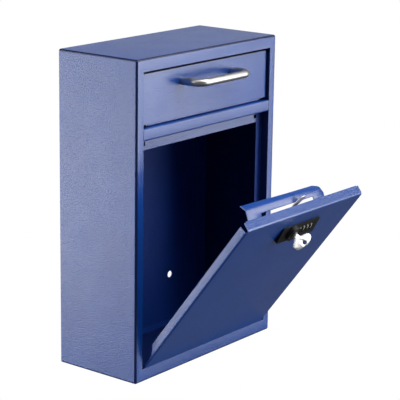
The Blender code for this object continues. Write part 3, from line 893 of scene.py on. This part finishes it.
def build_dial(number, x):
    """One number wheel: its ten flats carry the digits, and notches between them give grip."""
    facets = 10
    outline = []
    for i in range(facets):
        for share in (-0.42, -0.14, 0.14, 0.42):
            angle = math.tau * (i + share) / facets
            outline.append((DIAL_RADIUS * math.cos(angle), DIAL_RADIUS * math.sin(angle)))
        angle = math.tau * (i + 0.5) / facets
        root = DIAL_RADIUS - DIAL_NOTCH
        outline.append((root * math.cos(angle), root * math.sin(angle)))
    place = DOOR @ Matrix.Translation(MM * Vector((x, DIAL_DEPTH, DIAL_Z)))
    body = f"dial_{number}"
    wheel = prism_x(outline, -2.5, 2.5)
    wheel = add(f"wheel_{number}", wheel, DIAL, place, body, replaced=[body], slot="dial")
    cut(wheel, prism_x(circle(DIAL_BORE, 24), -10, 10))
    finish(wheel, 0.12)
    onto_flat = Matrix.Translation(MM * Vector((0, -DIAL_RADIUS, 0)))
    upright = Matrix.Rotation(math.radians(90), 4, "X")
    for digit in range(facets):
        name = f"digit_{number}_{digit}"
        text = bpy.data.curves.new(name, "FONT")
        text.body = str(digit)
        text.size = MM * DIGIT_SIZE
        text.extrude = MM * DIGIT_PROUD
        text.align_x = "CENTER"
        text.align_y = "CENTER"
        text.resolution_u = 3
        text.materials.append(PRINT)
        label = bpy.data.objects.new(name, text)
        bpy.context.scene.collection.objects.link(label)
        turn = Matrix.Rotation(math.tau * (digit - 3 * number) / facets, 4, "X")
        label.matrix_world = place @ turn @ onto_flat @ upright
        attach(label, body)


def build_key(flat, edge):
    outline = KEY_CUTS + KEY_BACK + KEY_BOW
    key = prism(outline, flat, Y_AXIS, edge, -KEY_HALF_THICK, KEY_HALF_THICK)
    key = add("key_blank", key, NICKEL, PLUG, "key", replaced=["key"], slot="nickel")
    cut(key, prism(circle(KEY_HOLE_RADIUS, 32, KEY_HOLE), flat, Y_AXIS, edge, -5, 5))
    finish(key, 0.25)


def dress_frame_nodes():
    """The small CAD pieces that stay get their detailed materials."""
    shown = {
        PAINT: [
            "flap_hinge_fixed_leaf",
            "flap_hinge_flap_leaf",
            "door_hinge_fixed_leaf",
            "door_hinge_door_leaf",
        ],
        ZINC: [
            "flap_hinge_pin",
            "door_hinge_pin",
            "handle_screw_left",
            "handle_screw_right",
            "faceplate_screw_left",
            "faceplate_screw_right",
            "hopper_wing_left",
            "hopper_wing_right",
            "hopper_baffle",
            "lock_nut",
            "cam_screw",
            "dial_axle",
        ],
        BLACK: ["dial_housing"],
    }
    for material, names in shown.items():
        for name in names:
            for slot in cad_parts[name].material_slots:
                slot.material = material


# ---- Stage ----


def soft_panel(tree, around, azimuth, elevation, level, across, upright, soft):
    """How bright one soft panel is in each direction. Angles are in degrees from its middle."""
    turn, rise = math.radians(azimuth), math.radians(elevation)
    level_way = Vector((math.cos(turn), math.sin(turn), 0))
    way = Vector((*(math.cos(rise) * level_way.xy), math.sin(rise)))
    side = Z_AXIS.cross(level_way)
    product = None
    for axis, half in ((side, across), (way.cross(side), upright)):
        offset = tree.nodes.new("ShaderNodeVectorMath")
        offset.operation = "DOT_PRODUCT"
        offset.inputs[1].default_value = axis
        tree.links.new(around, offset.inputs[0])
        size = tree.nodes.new("ShaderNodeMath")
        size.operation = "ABSOLUTE"
        tree.links.new(offset.outputs["Value"], size.inputs[0])
        product = fade(tree, size.outputs["Value"], half - soft, half + soft, level, product)
        level = 1.0
    ahead = tree.nodes.new("ShaderNodeVectorMath")
    ahead.operation = "DOT_PRODUCT"
    ahead.inputs[1].default_value = way
    tree.links.new(around, ahead.inputs[0])
    front = tree.nodes.new("ShaderNodeMath")
    front.operation = "GREATER_THAN"
    front.inputs[1].default_value = 0.0
    tree.links.new(ahead.outputs["Value"], front.inputs[0])
    return times(tree, product, front.outputs["Value"])


def times(tree, first, second):
    node = tree.nodes.new("ShaderNodeMath")
    node.operation = "MULTIPLY"
    tree.links.new(first, node.inputs[0])
    tree.links.new(second, node.inputs[1])
    return node.outputs["Value"]


def fade(tree, offset, inner, outer, level, product):
    """Falls from the level at the inner angle to nothing at the outer one."""
    node = tree.nodes.new("ShaderNodeMapRange")
    node.interpolation_type = "SMOOTHSTEP"
    node.inputs["From Min"].default_value = math.sin(math.radians(inner))
    node.inputs["From Max"].default_value = math.sin(math.radians(outer))
    node.inputs["To Min"].default_value = level
    node.inputs["To Max"].default_value = 0.0
    tree.links.new(offset, node.inputs["Value"])
    value = node.outputs["Result"]
    return value if product is None else times(tree, product, value)


def add_studio():
    """The camera sees plain white all round. Other rays see a dim studio with soft panels."""
    world = bpy.data.worlds.new("studio")
    bpy.context.scene.world = world
    world.use_nodes = True
    tree = world.node_tree
    tree.nodes.clear()
    output = tree.nodes.new("ShaderNodeOutputWorld")
    mix = tree.nodes.new("ShaderNodeMixShader")
    seen = tree.nodes.new("ShaderNodeBackground")
    seen.inputs["Color"].default_value = (1, 1, 1, 1)
    light = tree.nodes.new("ShaderNodeBackground")
    light.inputs["Color"].default_value = (1, 1, 1, 1)
    around = tree.nodes.new("ShaderNodeTexCoord").outputs["Generated"]
    total = None
    for azimuth, elevation, level, across, upright, soft in SOFT_PANELS:
        panel = soft_panel(tree, around, azimuth, elevation, level, across, upright, soft)
        add = tree.nodes.new("ShaderNodeMath")
        tree.links.new(panel, add.inputs[0])
        add.inputs[1].default_value = STUDIO_LEVEL
        if total is not None:
            tree.links.new(total, add.inputs[1])
        total = add.outputs["Value"]
    tree.links.new(total, light.inputs["Strength"])
    path = tree.nodes.new("ShaderNodeLightPath")
    tree.links.new(path.outputs["Is Camera Ray"], mix.inputs["Fac"])
    tree.links.new(light.outputs["Background"], mix.inputs[1])
    tree.links.new(seen.outputs["Background"], mix.inputs[2])
    tree.links.new(mix.outputs["Shader"], output.inputs["Surface"])


def add_floor():
    """A white floor just below the box, for the camera only. From below it can't be seen."""
    half = 4.0
    low = MM * (-HEIGHT / 2 - 0.5)
    corners = [(-half, -half, low), (half, -half, low), (half, half, low), (-half, half, low)]
    mesh = bpy.data.meshes.new("floor")
    mesh.from_pydata(corners, [], [(0, 1, 2, 3)])
    floor = bpy.data.objects.new("floor", mesh)
    bpy.context.scene.collection.objects.link(floor)
    material = bpy.data.materials.new("pale_floor")
    material.use_nodes = True
    tree = material.node_tree
    tree.nodes.remove(tree.nodes["Principled BSDF"])
    geometry = tree.nodes.new("ShaderNodeNewGeometry")
    glow = tree.nodes.new("ShaderNodeEmission")
    clear = tree.nodes.new("ShaderNodeBsdfTransparent")
    mix = tree.nodes.new("ShaderNodeMixShader")
    tree.links.new(geometry.outputs["Backfacing"], mix.inputs["Fac"])
    tree.links.new(glow.outputs["Emission"], mix.inputs[1])
    tree.links.new(clear.outputs["BSDF"], mix.inputs[2])
    tree.links.new(mix.outputs["Shader"], tree.nodes["Material Output"].inputs["Surface"])
    mesh.materials.append(material)
    floor.visible_glossy = False
    floor.visible_diffuse = False
    floor.visible_shadow = False


# The studio: an even dim level, and soft panels. Each is its azimuth and elevation, its level,
# half its size across and up, and half the width of its soft edge, with angles in degrees.
STUDIO_LEVEL = 0.14
SOFT_PANELS = [
    (135, -13, 4.4, 18, 10, 6),
    (148, 20, 2.6, 30, 17, 7),
    (-54, 4, 4.2, 19, 21, 6),
    (-52, 52, 3.6, 24, 20, 3),
    (-37, 3, 1.5, 12, 6, 4),
    (-130, 68, 1.8, 20, 14, 6),
    (38, 14, 0.36, 30, 12, 8),
]

bpy.context.scene.view_settings.view_transform = "Standard"
add_camera()
add_studio()
add_floor()
build_shell()
build_back()
build_jambs()
build_middle_rail()
build_flap()
build_door_panel()
build_guard()
build_faceplate()
build_lock()
dress_frame_nodes()
